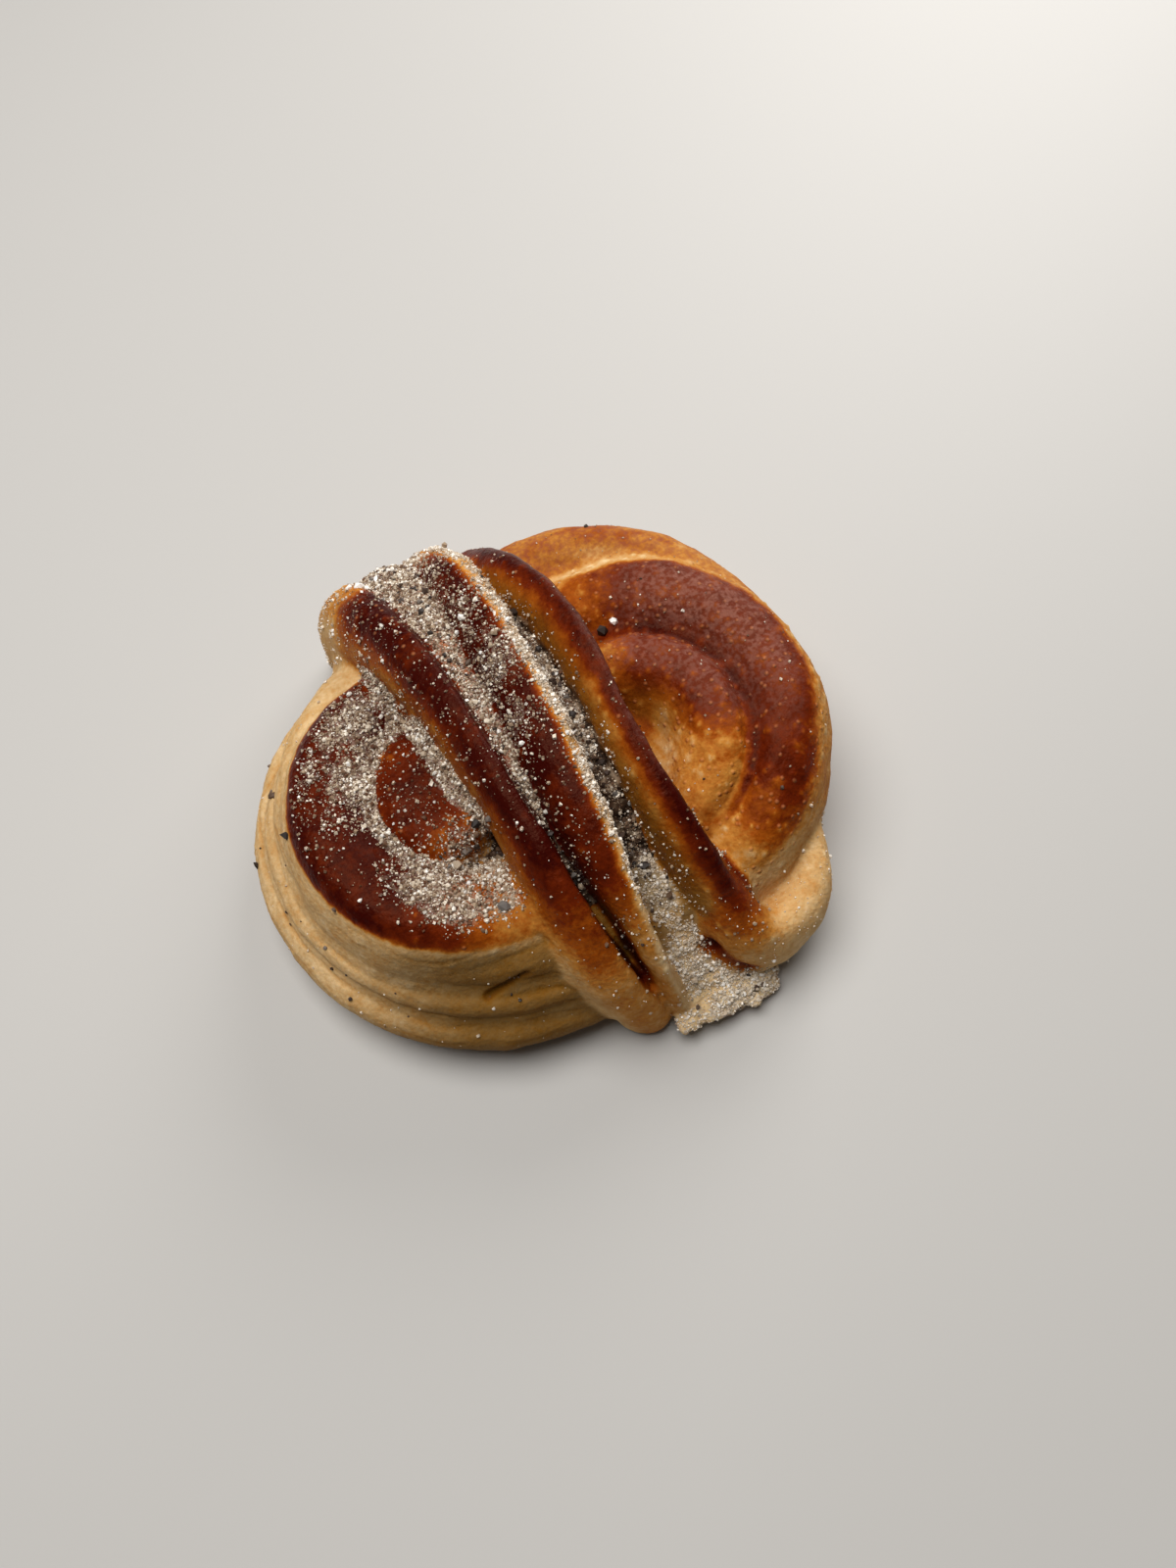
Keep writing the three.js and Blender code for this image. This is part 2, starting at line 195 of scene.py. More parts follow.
# Blisters, in millimetres: how many, how wide, how high, and their reach in widths
BLISTER_COUNT, BLISTER_WIDTHS, BLISTER_HEIGHT, BLISTER_REACH = 420, (0.35, 0.8), 0.25, 2.2

# How thickly sugar lies: the most of it before patches, how strongly it drifts, and the middle and
# range of drifts and of patches
MOST_SUGAR, DRIFT_STRENGTH = 1.5, 1.8
DRIFT_MIDDLE, DRIFT_RANGE = 0.75, (0.1, 1.4)
PATCH_MIDDLE, PATCH_RANGE = 0.8, (0.1, 1.8)

# Painted shade in creases and grooves, and how much browner the crust is in blotches and paler on blisters
CREASE_SHADE, BLOTCH_BROWNING, GROOVE_SHADE, BLISTER_PALENESS = 0.12, 0.13, 0.09, 0.2

SEED, BLISTER_SEED = 11, 12


def unit(vectors):
    return vectors / np.linalg.norm(vectors, axis=-1, keepdims=True)


def squared(values, power):
    """Sines or cosines, pushed out from an ellipse towards a box."""
    return np.sign(values) * np.abs(values) ** (2 / power)


def between(values, share, closed=False):
    """Values between evenly spaced ones, by a Catmull-Rom spline."""
    values = np.asarray(values, float)
    count = len(values)
    spans = count if closed else count - 1
    along = np.clip(share, 0, 1) * spans
    first = np.minimum(np.floor(along).astype(int), spans - 1)
    t = along - first
    picks = [first + step for step in (-1, 0, 1, 2)]
    a, b, c, d = [values[p % count] if closed else values[np.clip(p, 0, count - 1)] for p in picks]
    return b + t * (c - a + t * (2 * a - 5 * b + 4 * c - d + t * (3 * (b - c) + d - a))) / 2


def ease(values, low, high):
    """0 at low, 1 at high, smooth between. Low may be the larger of the two."""
    t = np.clip((values - low) / (high - low), 0, 1)
    return t * t * (3 - 2 * t)


def blend(a, b, share):
    """a where the share is 0, b where it is 1."""
    return a + (b - a) * share


def near_line(points, start, end, reach):
    """1 on a straight line between two ends, fading to 0 past its reach."""
    start = np.array(start)
    along = end - start
    share = np.clip((points - start) @ along / (along @ along), 0, 1)
    distance = np.linalg.norm(points - start - share[:, None] * along, axis=1)
    return np.exp(-((distance / reach) ** 2))


# Strands as closed grids of points
class Rope(NamedTuple):
    """A closed strand or mound, with the run s and the section angle in degrees at its points.

    The run goes from 0 to 1, on a mound from its base up. Angle 0 is the left or outer side,
    90 the crest, 180 the right or inner side and -90 the underside. A mound has angle 0."""

    name: str
    points: np.ndarray
    s: np.ndarray
    angle: np.ndarray
    faces: list


def grid_faces(rings, sides):
    """Quads between the rings, and a fan at each end to one of the last two points."""

    def at(ring, side):
        return ring * sides + side % sides

    first, last = rings * sides, rings * sides + 1
    faces = [
        (at(ring, side), at(ring, side + 1), at(ring + 1, side + 1), at(ring + 1, side))
        for ring in range(rings - 1)
        for side in range(sides)
    ]
    faces += [(first, at(0, side + 1), at(0, side)) for side in range(sides)]
    faces += [(last, at(rings - 1, side), at(rings - 1, side + 1)) for side in range(sides)]
    return faces


def heading(line, s):
    """The way a line goes on at s."""
    return line(np.minimum(s + NUDGE, 1)) - line(np.maximum(s - NUDGE, 0))


def swept_rope(name, crest, up, left, right, half_height):
    """A strand below its crest line, with a width of its own to each side."""
    s = np.linspace(0, 1, ROPE_STEPS + 1)
    angle = np.linspace(0, 2 * np.pi, ROPE_SIDES, endpoint=False)
    ahead = unit(heading(crest, s))
    raised = up(s)
    raised = unit(raised - (raised * ahead).sum(1, keepdims=True) * ahead)
    leftward = np.cross(raised, ahead)
    centre = crest(s) - half_height(s)[:, None] * raised
    across = squared(np.cos(angle), SECTION_POWER)
    width = np.where(across > 0, left(s)[:, None], right(s)[:, None]) * across
    height = half_height(s)[:, None] * squared(np.sin(angle), SECTION_POWER)
    grid = centre[:, None] + leftward[:, None] * width[..., None] + raised[:, None] * height[..., None]
    turned = (np.degrees(angle) + 90) % 360 - 90
    return Rope(
        name=name,
        points=np.concatenate([grid.reshape(-1, 3), centre[:1], centre[-1:]]),
        s=np.append(np.repeat(s, ROPE_SIDES), [0, 1]),
        angle=np.append(np.tile(turned, ROPE_STEPS + 1), [-90, -90]),
        faces=grid_faces(ROPE_STEPS + 1, ROPE_SIDES),
    )


def constant(value):
    return lambda s: np.full(len(s), float(value))


def listed(values):
    return lambda s: between(values, s)


def arc_rope(name, centre, radius, bearings, crest, dip, outer, inner, half_height, lean):
    tilt = math.radians(lean)

    def outward(s):
        bearing = np.radians(blend(bearings[0], bearings[1], s))
        return np.stack([np.cos(bearing), np.sin(bearing), 0 * s], 1)

    def up(s):
        return outward(s) * math.sin(tilt) + np.array([0, 0, math.cos(tilt)])

    def crest_line(s):
        sunk = np.where(s < 0.5, dip[0], dip[1]) * np.abs(2 * s - 1) ** DIVE_POWER
        return outward(s) * radius + np.array([*centre, crest]) - up(s) * sunk[:, None]

    return swept_rope(name, crest_line, up, constant(outer), listed(inner), constant(half_height))


def fold_rope(name, across, drop, left, right, half_height):
    def crest_line(s):
        angle = np.radians((2 * s - 1) * ARCH_SWING)
        lower = between(drop, s)
        reach = np.where(angle > 0, ARCH_BACK, ARCH_FRONT)
        y = (reach - lower) * squared(np.sin(angle), SECTION_POWER)
        z = (ARCH_HEIGHT - lower) * squared(np.cos(angle), SECTION_POWER)
        return np.stack([between(across, s), y, z], 1)

    def up(s):
        ahead = heading(crest_line, s)
        return unit(np.stack([0 * s, -ahead[:, 2], ahead[:, 1]], 1))

    return swept_rope(name, crest_line, up, listed(left), listed(right), listed(half_height))


def point_rope(name, points, left, right, half_height, lean):
    def crest_line(s):
        return np.stack([between([p[axis] for p in points], s) for axis in range(3)], 1)

    def up(s):
        flat = crest_line(s) * [1, 1, 0]
        return unit(flat) * lean + [0, 0, 1]

    return swept_rope(name, crest_line, up, listed(left), listed(right), listed(half_height))


def mound_rope(name, centre, reach, profile):
    share = np.arange(MOUND_SIDES) / MOUND_SIDES
    bearing = 2 * np.pi * share
    radius = between(reach, share, closed=True)
    shares, heights = np.array(profile, float).T
    rise = np.linspace(0, 1, MOUND_RINGS)
    scale, height = between(shares, rise), between(heights, rise)
    x, y = centre
    grid = np.stack([
        x + scale[:, None] * radius * np.cos(bearing),
        y + scale[:, None] * radius * np.sin(bearing),
        np.repeat(height[:, None], MOUND_SIDES, 1),
    ], -1)
    return Rope(
        name=name,
        points=np.concatenate([grid.reshape(-1, 3), [[x, y, height[0]], [x, y, height[-1]]]]),
        s=np.append(np.repeat(rise, MOUND_SIDES), [0, 1]),
        angle=np.zeros(MOUND_RINGS * MOUND_SIDES + 2),
        faces=grid_faces(MOUND_RINGS, MOUND_SIDES),
    )


def all_ropes():
    makers = [(mound_rope, MOUNDS), (arc_rope, ARCS), (fold_rope, FOLDS), (point_rope, STRANDS)]
    return [make(name, **sizes) for make, group in makers for name, sizes in group.items()]


# The look of each strand: how brown it is baked, from 0 for cream to 1 for the darkest crust, how
# bare the filling lies, how thickly sugar and cardamom lie, how torn and rough the dough is, how
# much greyish painted sheen lies on the crust, how much khaki painted shade darkens the dough, how
# much the edges of thin layers show, and how thickly blisters stand. Places are shares of the run s,
# degrees round the section a, or millimetres across x, along y and up z.
PLAIN_LOOK = dict(
    filled=0, sugared=0.005, spiced=0.001, ragged=0, matte=0, khaki=0, layered=0, blistered=0.15
)

# How many rounds of averaging blur each of these over the skin
BLUR_ROUNDS = dict(
    browned=3, filled=3, sugared=3, spiced=2, ragged=2, matte=16, khaki=4, layered=2, blistered=3
)


def wall_bearing(rope):
    x, y = rope.points[:, :2].T
    return np.degrees(np.arctan2(y - WALL_CENTRE[1], x - WALL_CENTRE[0])) % 360


def front_wall(rope):
    """1 round the front of the left wall, where khaki shade is painted on."""
    bearing = wall_bearing(rope)
    return ease(bearing, 198, 236) * ease(bearing, 330, 300)


def middle_of(s):
    """1 along the middle of a run, 0 at both ends."""
    return ease(s, 0, 0.2) * ease(s, 1, 0.8)


def cushion_look(rope):
    x, y, z = rope.points.T
    top = ease(z, 20, 23) * ease(x, 2, -2)
    foot = ease(z, 4, 0)
    right_top = ease(z, 22, 25) * ease(x, 4, 8) * ease(y, -16, -4)
    # Painted shade: the crevice between the left and middle folds at the front is darkest
    crevice_shade = ease(x, -8, -6.5) * ease(x, 1.5, 0) * ease(y, -28, -33)
    pale = 0.14 + 0.25 * foot + 0.3 * right_top
    return dict(
        browned=blend(pale, 1, crevice_shade),
        filled=top, spiced=0.003 + 1.5 * top,
        khaki=front_wall(rope), layered=1, blistered=0,
    )


def left_dome_look(rope):
    x, y, z = rope.points.T
    front = ease(0.25 * x - y, -3, 5)
    return dict(
        browned=blend(0.45, 0.88, ease(z, 26, 33)) * blend(1, 0.6, front),
        sugared=0.11 + 0.4 * ease(y, -5, -9),
        spiced=0.01 + 0.5 * ease(y, -7, -10), blistered=0.4,
    )


def right_outer_turn_look(rope):
    s, a = rope.s, rope.angle
    dark = blend(0.5, 0.8, ease(s, 0.05, 0.25)) * blend(0.35, 1, ease(s, 0.96, 0.78))
    rim = blend(0.12, 0.34, ease(s, 0.95, 0.75)) * blend(0.55, 1, ease(s, 0.15, 0.35))
    further_out = 5 * ease(s, 0.3, 0.4) + 13 * ease(s, 0.66, 0.78)
    crest = ease(a, 60, 80) * ease(a, 140, 120)
    return dict(
        browned=blend(rim, dark, ease(a + further_out, 58, 74)),
        # A greyish painted sheen along the crest, where the crust reflects the light
        matte=1.1 * crest * ease(s, 0.1, 0.3) * ease(s, 0.85, 0.45),
        layered=0.5 * ease(a, 40, 30), blistered=0.9 * ease(a, 30, 50),
    )


def right_inner_turn_look(rope):
    s, a = rope.s, rope.angle
    dark = blend(0.46, 0.86, ease(s, 0.05, 0.3)) * blend(0.45, 1, ease(s, 0.85, 0.5))
    hollow = blend(0.5, 0.27, ease(s, 0.15, 0.6))
    crest = ease(a, 40, 60) * ease(a, 120, 100)
    to_front = ease(s, 0.8, 0.5)
    return dict(
        browned=blend(dark, hollow, ease(a, 108, 152)),
        matte=0.8 * crest * ease(s, 0.05, 0.25) * to_front,
        # Khaki painted shade in the hollow by the strap
        khaki=0.6 * ease(a, 110, 155) * ease(s, 0.05, 0.2) * to_front,
        blistered=ease(a, 30, 60),
    )


def left_outer_turn_look(rope):
    s, a = rope.s, rope.angle
    dark = 0.94 * blend(0.4, 1, ease(s, 0.08, 0.4)) * blend(0.45, 1, ease(s, 0.97, 0.82))
    bearing = blend(*ARCS[rope.name]["bearings"], s)
    upper = ease(bearing, 80, 105) * ease(bearing, 190, 130)
    edge = blend(92, 72, ease(bearing, 195, 240))
    lower = ease(bearing, 190, 220) * ease(bearing, 290, 275) * ease(a, edge, edge + 24)
    return dict(
        browned=blend(0.14, dark, ease(a, 52, 59)),
        sugared=(0.8 * upper + 0.85 * lower + 0.04) * ease(a, 58, 92),
        khaki=front_wall(rope) * ease(a, 55, 45),
        layered=ease(a, 55, 50),
    )


def left_layer_look(rope):
    # Darker towards the front of the wall: painted shade
    browned = 0.12 + 0.12 * ease(wall_bearing(rope), 200, 250)
    return dict(browned=browned, spiced=0.012, khaki=front_wall(rope), layered=1, blistered=0)


def upper_right_layer_look(rope):
    s, a = rope.s, rope.angle
    top = blend(0.26, 0.45, ease(a, 40, 70)) * blend(0.75, 1, middle_of(s))
    top = top * blend(1, 0.74, ease(s, 0.3, 0.55))
    inner_side = blend(0.42, 0.32, ease(s, 0.15, 0.35))
    return dict(
        browned=blend(top, inner_side, ease(a, 126, 136)),
        matte=0.6 * ease(a, 40, 60), layered=1, blistered=0,
    )


def lower_right_layer_look(rope):
    return dict(browned=0.22 + 0.08 * middle_of(rope.s), layered=1, blistered=0)


def left_fold_look(rope):
    s, a = rope.s, rope.angle
    to_back = ease(s, 0.8, 0.72)
    dark = blend(0.35, 1, ease(s, 0.13, 0.38)) * blend(0.34, 1, to_back)
    # Painted shade in the crevice next to the middle fold at the front
    crevice_shade = ease(a, 115, 150) * ease(s, 0.06, 0.12) * to_back
    sprinkled = 0.012 + 0.06 * ease(s, 0.35, 0.5)
    return dict(
        browned=blend(blend(0.5 * dark, dark, ease(a, 20, 62)), 1, crevice_shade),
        sugared=sprinkled + 0.3 * ease(s, 0.86, 0.95) + 0.15 * ease(a, 100, 130) * ease(s, 0.3, 0.5),
        blistered=0.8 * ease(s, 0.55, 0.65) * ease(a, 20, 50),
    )


def middle_fold_look(rope):
    s, a, y = rope.s, rope.angle, rope.points[:, 1]
    to_back = ease(s, 0.79, 0.71)
    # Painted shade in the crevice next to the left fold at the front
    crevice_shade = ease(a, 40, 15) * ease(s, 0.06, 0.12) * to_back
    dark = blend(blend(0.31, 0.98, ease(s, 0.14, 0.4)) * blend(0.42, 1, to_back), 1, crevice_shade)
    cut_side = blend(0.1, 0.24, ease(s, 0.2, 0.4))
    top = blend(0.08, 0.56, ease(y, -16, 6)) * blend(0.5, 1, ease(a, 90, 50))
    rim = 0.95 * ease(a, 90, 104) * ease(s, 0.2, 0.35) * ease(s, 0.88, 0.76)
    return dict(
        browned=blend(dark, cut_side, ease(a, 84, 96)),
        sugared=np.maximum(top * ease(a, 140, 110), rim),
        ragged=ease(a, 95, 110) * ease(s, 0.2, 0.35) * ease(s, 0.9, 0.8),
    )


def right_fold_look(rope):
    s, a = rope.s, rope.angle
    dark = blend(0.5, 0.97, ease(s, 0.08, 0.26)) * blend(0.6, 1, ease(s, 0.9, 0.75))
    left_side = blend(blend(0.48, 0.62, ease(s, 0.45, 0.65)) * dark, dark, ease(a, 54, 86))
    crest = ease(a, 80, 100) * ease(a, 150, 125)
    from_front = ease(s, 0.3, 0.4)
    return dict(
        browned=blend(left_side, 0.5 * dark, ease(a, 125, 170)),
        filled=0.6 * ease(a, 45, 15) * from_front * ease(s, 0.95, 0.85),
        sugared=0.016 + 0.12 * ease(a, 60, 20),
        matte=0.7 * crest * from_front,
        # Khaki painted shade on the flank that faces the right bed
        khaki=0.8 * ease(a, 65, 35),
    )


def left_bed_look(rope):
    s, y = rope.s, rope.points[:, 1]
    return dict(
        browned=blend(1, 0.58, ease(y, -14, 2)),
        filled=ease(y, -38, -30) * ease(y, 2, -14),
        sugared=blend(0.2, 1.3, ease(y, -26, -4)) * blend(0.2, 1, ease(s, 0.92, 0.82)),
        spiced=blend(1.2, 0.35, ease(y, -28, -8)),
        blistered=0,
    )


def right_bed_look(rope):
    s, y = rope.s, rope.points[:, 1]
    return dict(
        browned=0.6, filled=ease(s, 0.05, 0.25),
        sugared=0.35 + 1.1 * ease(y, 24, 14) * ease(y, -14, -4),
        spiced=1, blistered=0,
    )


def curl_look(rope):
    s, a = rope.s, rope.angle
    return dict(
        browned=blend(0.75, 0.18, ease(s, 0.1, 0.5)) * blend(0.6, 1, ease(a, 200, 60)),
        sugared=0.03 + 0.3 * ease(a, 40, 10) + 0.4 * ease(a, 165, 195) * ease(s, 0.3, 0.45),
    )


def tongue_look(rope):
    s, a = rope.s, rope.angle
    return dict(
        browned=0.03 + 0.5 * ease(a, 45, 0) * ease(s, 0.6, 0.95),
        filled=0.5 * ease(s, 0.6, 0.3),
        sugared=0.8 + 0.2 * ease(s, 0.8, 0.95),
        spiced=0.1, ragged=0.4 + ease(s, 0.6, 0.9), blistered=0,
    )


def front_swell_look(rope):
    # Browned a little more than the wall: painted shade at the front
    return dict(browned=0.3, khaki=front_wall(rope))


LOOKS = {
    "cushion": cushion_look, "left dome": left_dome_look,
    "right outer turn": right_outer_turn_look, "right inner turn": right_inner_turn_look,
    "left outer turn": left_outer_turn_look,
    "upper left layer": left_layer_look,
    "middle left layer": left_layer_look,
    "lower left layer": left_layer_look,
    "upper right layer": upper_right_layer_look, "lower right layer": lower_right_layer_look,
    "left fold": left_fold_look, "middle fold": middle_fold_look,
    "right fold": right_fold_look,
    "left bed": left_bed_look, "right bed": right_bed_look,
    "curl": curl_look,
    "tongue": tongue_look, "front swell": front_swell_look,
}


def full_look(rope):
    """Every quality at each of a strand's points."""
    look = PLAIN_LOOK | LOOKS[rope.name](rope)
    return {quality: value + 0 * rope.s for quality, value in look.items()}


# Meshes
def joined_mesh(name, points, faces):
    mesh = bpy.data.meshes.new(name)
    mesh.from_pydata(points.tolist(), [], faces)
    mesh.update()
    return mesh


def new_object(name, data):
    made = bpy.data.objects.new(name, data)
    bpy.context.scene.collection.objects.link(made)
    return made


def rows(parts, what, columns, kind=float):
    """A value of every vertex, edge or triangle of a mesh."""
    flat = np.empty(len(parts) * columns, kind)
    parts.foreach_get(what, flat)
    return flat.reshape(-1, columns)


def coords(mesh):
    return rows(mesh.vertices, "co", 3)


def normals(mesh):
    return rows(mesh.vertices, "normal", 3)


def set_coords(mesh, points):
    mesh.vertices.foreach_set("co", points.ravel())
    mesh.update()


def set_attribute(mesh, name, values):
    made = mesh.attributes.new(name, "FLOAT", "POINT")
    made.data.foreach_set("value", np.asarray(values, np.float32))


def attribute(mesh, name):
    return rows(mesh.attributes[name].data, "value", 1, np.float32)[:, 0]


def search_tree(points):
    tree = kdtree.KDTree(len(points))
    for index, point in enumerate(points):
        tree.insert(point, index)
    tree.balance()
    return tree


class Neighbours:
    """Averages of any value over each vertex's neighbours."""

    def __init__(self, mesh):
        self.a, self.b = rows(mesh.edges, "vertices", 2, int).T
        self.count = len(mesh.vertices)
        self.degree = np.bincount(np.append(self.a, self.b), minlength=self.count)

    def mean(self, values):
        total = np.bincount(self.a, values[self.b], self.count)
        total = total + np.bincount(self.b, values[self.a], self.count)
        return total / np.maximum(self.degree, 1)

    def relaxed(self, values, rounds, weight=0.5):
        columns = values.T if values.ndim > 1 else values[None]
        done = []
        for column in columns:
            for _ in range(rounds):
                column = blend(column, self.mean(column), weight)
            done.append(column)
        return np.stack(done, 1) if values.ndim > 1 else done[0]


# The skin of the bun
def remeshed(ropes):
    """One skin round all the ropes."""
    points, faces, start = [], [], 0
    for rope in ropes:
        points.append(rope.points * MM)
        faces += [tuple(corner + start for corner in face) for face in rope.faces]
        start += len(rope.points)
    rough = new_object("rough", joined_mesh("rough", np.concatenate(points), faces))
    remesh = rough.modifiers.new("join", "REMESH")
    remesh.mode = "VOXEL"
    remesh.voxel_size = VOXEL
    graph = bpy.context.evaluated_depsgraph_get()
    mesh = bpy.data.meshes.new_from_object(rough.evaluated_get(graph))
    bpy.data.objects.remove(rough)
    return mesh


def keep_largest(bm):
    """Drops the closed pockets left between strands."""
    bm.verts.ensure_lookup_table()
    bm.verts.index_update()
    seen = [False] * len(bm.verts)
    islands = []
    for vert in bm.verts:
        if seen[vert.index]:
            continue
        seen[vert.index] = True
        island, todo = [vert], [vert]
        while todo:
            for edge in todo.pop().link_edges:
                for other in edge.verts:
                    if not seen[other.index]:
                        seen[other.index] = True
                        island.append(other)
                        todo.append(other)
        islands.append(island)
    islands.sort(key=len)
    for island in islands[:-1]:
        bmesh.ops.delete(bm, geom=island, context="VERTS")


def cut_flat(bm):
    """Cuts off what is below the base and closes the cut."""
    everything = bm.verts[:] + bm.edges[:] + bm.faces[:]
    cut = bmesh.ops.bisect_plane(
        bm, geom=everything, plane_co=(0, 0, 0), plane_no=(0, 0, 1), clear_inner=True
    )
    rim = [part for part in cut["geom_cut"] if isinstance(part, bmesh.types.BMEdge)]
    bmesh.ops.holes_fill(bm, edges=rim, sides=0)
    bmesh.ops.triangulate(bm, faces=[face for face in bm.faces if len(face.verts) > 4])
    bmesh.ops.recalc_face_normals(bm, faces=bm.faces[:])


def fused(ropes):
    """One closed skin round all the ropes, cut flat at the base."""
    mesh = remeshed(ropes)
    bm = bmesh.new()
    bm.from_mesh(mesh)
    keep_largest(bm)
    cut_flat(bm)
    bm.to_mesh(mesh)
    bm.free()
    return mesh


def skin_qualities(ropes, points, around):
    """Every quality at each point of the skin, from the nearest point of a strand."""
    tree = search_tree(np.concatenate([rope.points for rope in ropes]) * MM)
    nearest = np.array([tree.find(point)[1] for point in points])
    looks = [full_look(rope) for rope in ropes]
    return {
        quality: around.relaxed(np.concatenate([look[quality] for look in looks])[nearest], rounds)
        for quality, rounds in BLUR_ROUNDS.items()
    }


def noise_at(points, name):
    """Smooth noise, from about minus to plus its strength."""
    strength, width, start = NOISES[name]
    shift = Vector([start * way for way in NOISE_WAY])
    return strength * np.array([noise.noise(Vector(point) / (width * MM) + shift) for point in points])


def soften_creases(mesh, around, points):
    """The points with rounder creases on both lobes and on the left wall, the share of sugar that
    drifts into the ring round the left dome, and how much shade is painted in the right lobe's creases."""
    deep = around.relaxed(points, CREASE_ROUNDS)
    hollow = around.relaxed(((deep - points) * normals(mesh)).sum(1) / MM, HOLLOW_ROUNDS)
    x, y, z = points.T / MM
    creased = ease(hollow, 0, CREASE_DEPTH)
    left_lobe = ease(x, -12, -16) * ease(z, 28, 30)
    right_lobe = ease(x, 15, 18) * ease(z, 21, 24)
    left_wall = WALL_ROUNDING * ease(x, 0, -10) * ease(z, 27, 24)
    soft = (left_lobe + right_lobe + left_wall) * creased
    drifted = left_lobe * creased * ease(y, -25, -19)
    crease_shade = right_lobe * ease(hollow, 0, CREASE_SHADE_DEPTH)
    return points + (deep - points) * soft[:, None], drifted, crease_shade


def blisters(points, density):
    """Height from 0 to 1 of small round blisters, placed where the density is high."""
    random = np.random.default_rng(BLISTER_SEED)
    picked = random.choice(len(points), BLISTER_COUNT, replace=False, p=density / density.sum())
    width = random.uniform(*BLISTER_WIDTHS, BLISTER_COUNT) * MM
    tree = search_tree(points)
    height = np.zeros(len(points))
    for centre, size in zip(points[picked], width):
        for _, index, distance in tree.find_range(centre, BLISTER_REACH * size):
            height[index] = max(height[index], math.exp(-((distance / size) ** 2)))
    return height


def wall_layers(points, layered):
    """The height of thin layers in the wall, and where the grooves between them are."""
    height = points[:, 2]
    shown = layered * ease(height / MM, 3, 7) * np.clip(0.6 + noise_at(points, "layer gap"), 0, 1)
    wave = np.sin(height / (LAYER_RISE * MM) + noise_at(points * LAYER_STRETCH, "layer wander"))
    groove = shown * ease(wave, 0.6, 1)
    return LAYER_HEIGHT * shown * wave - GROOVE_DEPTH * groove, groove


def sugar_cover(points, sugared, drifted, under):
    """How thickly sugar lies on the skin, in patches and drifts, with none under the curl."""
    patchy = noise_at(points, "sugar patch") + noise_at(points, "small sugar patch")
    drift = np.clip(DRIFT_MIDDLE + noise_at(points, "sugar drift"), *DRIFT_RANGE)
    sugar = np.clip(sugared + DRIFT_STRENGTH * drift * drifted, 0, MOST_SUGAR)
    unevenness = blend(0.9, 0.3, ease(sugar, 0.7, 1.2))
    return sugar * np.clip(PATCH_MIDDLE + unevenness * patchy, *PATCH_RANGE) * (1 - under)


def crust_shade(points, browned, crease_shade, blister, groove, under, slit):
    """How brown the skin is, with blisters and blotches, and painted shade in creases and hollows."""
    # Painted shade: the right lobe's creases are darker
    crust = browned + CREASE_SHADE * crease_shade * ease(browned, 0.3, 0.5)
    crust = crust - BLISTER_PALENESS * blister
    blotches = noise_at(points, "blotch") + noise_at(points, "small blotch")
    crust = crust + BLOTCH_BROWNING * ease(crust, 0.2, 0.55) * blotches
    # Painted shade in the hollow under the curl and in the slit of the wall
    crust = blend(crust, CURL_HOLLOW_SHADE, under)
    crust = blend(crust, WALL_SLIT_SHADE, slit)
    # Painted shade in the grooves between the wall's layers
    return crust + GROOVE_SHADE * groove


def fine_relief(points, skin):
    """Lumps, pores and the grit of bare filling and torn dough, in millimetres."""
    lumps = noise_at(points, "lump") + noise_at(points, "small lump")
    pores = (PORE_DEPTH + BLISTERED_PORE_DEPTH * skin["blistered"]) * noise_at(points, "pore")
    rough = np.maximum(skin["filled"], skin["ragged"])
    grit = rough * (noise_at(points, "grit") + noise_at(points, "coarse grit"))
    return lumps + pores + grit


def make_bun():
    ropes = all_ropes()
    mesh = fused(ropes)
    around = Neighbours(mesh)
    cut_points = coords(mesh)
    base = cut_points[:, 2] < VOXEL / 2
    points = around.relaxed(cut_points, SMOOTH_ROUNDS)
    points[base] = cut_points[base]
    set_coords(mesh, points)

    skin = skin_qualities(ropes, points, around)
    points, drifted, crease_shade = soften_creases(mesh, around, points)
    set_coords(mesh, points)
    blister = blisters(points, skin["blistered"])
    under = near_line(points / MM, **CURL_HOLLOW)
    slit = near_line(points / MM, **WALL_SLIT)
    layers, groove = wall_layers(points, skin["layered"])
    relief = fine_relief(points, skin) + layers + BLISTER_HEIGHT * blister
    relief = relief - CURL_HOLLOW_DEPTH * under - WALL_SLIT_DEPTH * slit

    moved = points + normals(mesh) * (relief * MM)[:, None]
    moved[base] = points[base]
    moved[:, 2] = np.maximum(moved[:, 2], 0)
    set_coords(mesh, moved)
    shown = dict(
        crust=crust_shade(points, skin["browned"], crease_shade, blister, groove, under, slit),
        filling=skin["filled"], khaki=skin["khaki"],
        sugar=sugar_cover(points, skin["sugared"], drifted, under),
        matte=skin["matte"], spice=skin["spiced"], blistered=skin["blistered"],
    )
    for name, values in shown.items():
        set_attribute(mesh, name, values)
    mesh.name = "bun_crumb"
    mesh.polygons.foreach_set("use_smooth", [True] * len(mesh.polygons))
    return new_object("bun_dough", mesh)


# Grains. Sugar: how many, size in millimetres and its spread, how much the grains keep to where
# sugar lies thickest, how dark they are as a rule, and the tone of the brightest
SUGAR_KINDS = {
    "sugar_coarse": dict(count=2000, size=0.58, spread=0.3, lean=1.2, darkness=0.7, brightest=1.0),
    "sugar_fine": dict(count=12500, size=0.28, spread=0.25, lean=1.15, darkness=0.9, brightest=0.9),
    "sugar_dust": dict(count=22000, size=0.22, spread=0.2, lean=1.0, darkness=1.0, brightest=0.8),
}
CARDAMOM_COUNT, CARDAMOM_SIZE, CARDAMOM_SPREAD, CARDAMOM_RANGE = 430, 0.55, 0.45, (0.3, 1.6)

